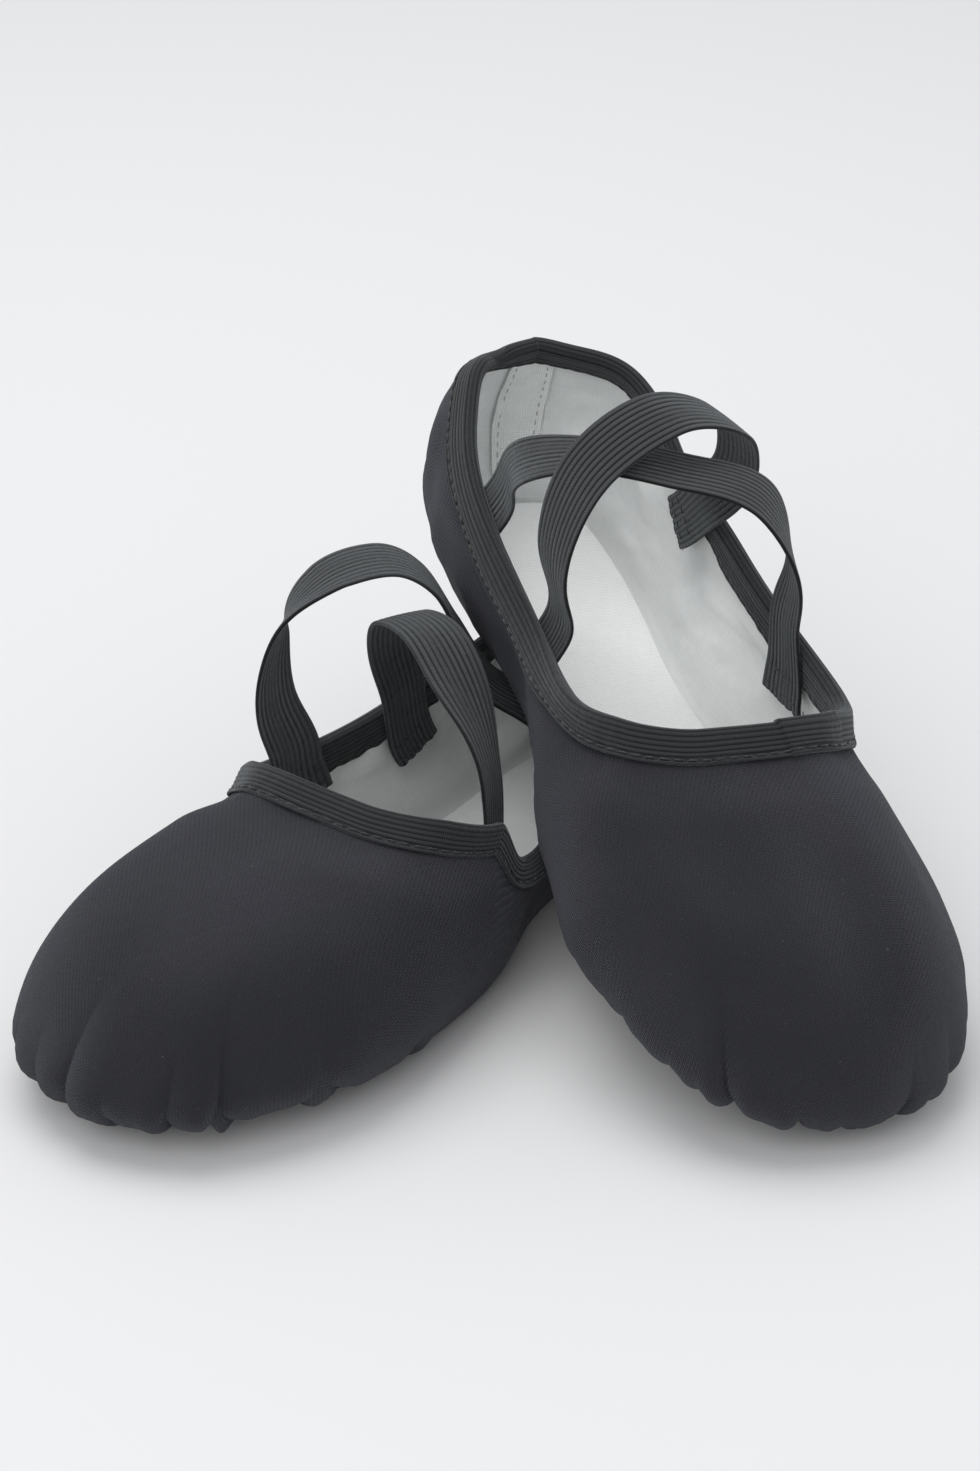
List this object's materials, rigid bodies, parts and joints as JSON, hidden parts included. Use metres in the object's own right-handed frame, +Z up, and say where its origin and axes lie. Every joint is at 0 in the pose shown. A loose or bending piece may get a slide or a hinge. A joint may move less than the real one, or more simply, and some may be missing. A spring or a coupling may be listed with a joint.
{
  "type": "ballet slipper pair",
  "caption": "Pair of split-sole canvas ballet slippers with crossed elastic straps, the right one leaning on the left one's rim.",
  "frame": {"origin": "middle of the pair's box at floor level", "axes": "+Z up; the camera side is -Y, where both toes point; +X to the right slipper's toe side"},
  "size_m": [0.2266, 0.2244, 0.1318],
  "materials": {
    "canvas": "fine twill-like stretch canvas, matt, near black with a faint violet cast",
    "lining": "plain cotton lining, cool off-white",
    "elastic": "ribbed woven elastic, charcoal, slight sheen on the ribs",
    "sock": "smooth brushed cotton sock, near white",
    "suede": "split suede, dark grey-green, matt",
    "foam": "thin latex foam, cream",
    "tape": "cotton seam tape, off-white, two stitch rows"
  },
  "bodies": {
    "left_slipper": {"left_canvas_upper": "canvas", "left_cotton_lining": "lining", "left_topline_binding": "elastic", "left_heel_seam_tape": "tape", "left_forefoot_sole": "suede", "left_heel_sole": "suede", "left_forefoot_pad": "foam", "left_heel_pad": "foam", "left_sock": "sock", "left_lateral_strap_outer_tab": "elastic", "left_lateral_strap_inner_tab": "elastic", "left_medial_strap_outer_tab": "elastic", "left_medial_strap_inner_tab": "elastic"},
    "left_lateral_strap": {"left_lateral_strap": "elastic"},
    "left_medial_strap": {"left_medial_strap": "elastic"},
    "right_slipper": {"right_canvas_upper": "canvas", "right_cotton_lining": "lining", "right_topline_binding": "elastic", "right_heel_seam_tape": "tape", "right_forefoot_sole": "suede", "right_heel_sole": "suede", "right_forefoot_pad": "foam", "right_heel_pad": "foam", "right_sock": "sock", "right_lateral_strap_outer_tab": "elastic", "right_lateral_strap_inner_tab": "elastic", "right_medial_strap_outer_tab": "elastic", "right_medial_strap_inner_tab": "elastic"},
    "right_lateral_strap": {"right_lateral_strap": "elastic"},
    "right_medial_strap": {"right_medial_strap": "elastic"}
  },
  "joints": [
    {"name": "right_slipper_lift", "type": "slide", "parent": "left_slipper", "child": "right_slipper", "axis": [0, 0, 1], "range_m": [0, 0.12]},
    {"name": "left_lateral_strap_sway", "type": "hinge", "parent": "left_slipper", "child": "left_lateral_strap", "pos_m": [0.00031, -0.03071, 0.0387], "axis": [0.3426, -0.9389, -0.0327], "range_deg": [-2, 8], "stiffness_Nm_per_rad": 0.05},
    {"name": "left_medial_strap_sway", "type": "hinge", "parent": "left_slipper", "child": "left_medial_strap", "pos_m": [0.03669, 0.01946, 0.03103], "axis": [0.9743, 0.1936, -0.1154], "range_deg": [-2, 2], "stiffness_Nm_per_rad": 0.05},
    {"name": "right_lateral_strap_sway", "type": "hinge", "parent": "right_slipper", "child": "right_lateral_strap", "pos_m": [0.01438, 0.00377, 0.07615], "axis": [0.6069, 0.7702, 0.196], "range_deg": [-8, 8], "stiffness_Nm_per_rad": 0.05},
    {"name": "right_medial_strap_sway", "type": "hinge", "parent": "right_slipper", "child": "right_medial_strap", "pos_m": [0.00076, 0.04488, 0.09387], "axis": [0.8756, -0.4211, -0.2367], "range_deg": [-8, 8], "stiffness_Nm_per_rad": 0.05}
  ],
  "couplings": [
    {"joint": "right_medial_strap_sway", "follows": "right_lateral_strap_sway", "ratio": 1}
  ]
}
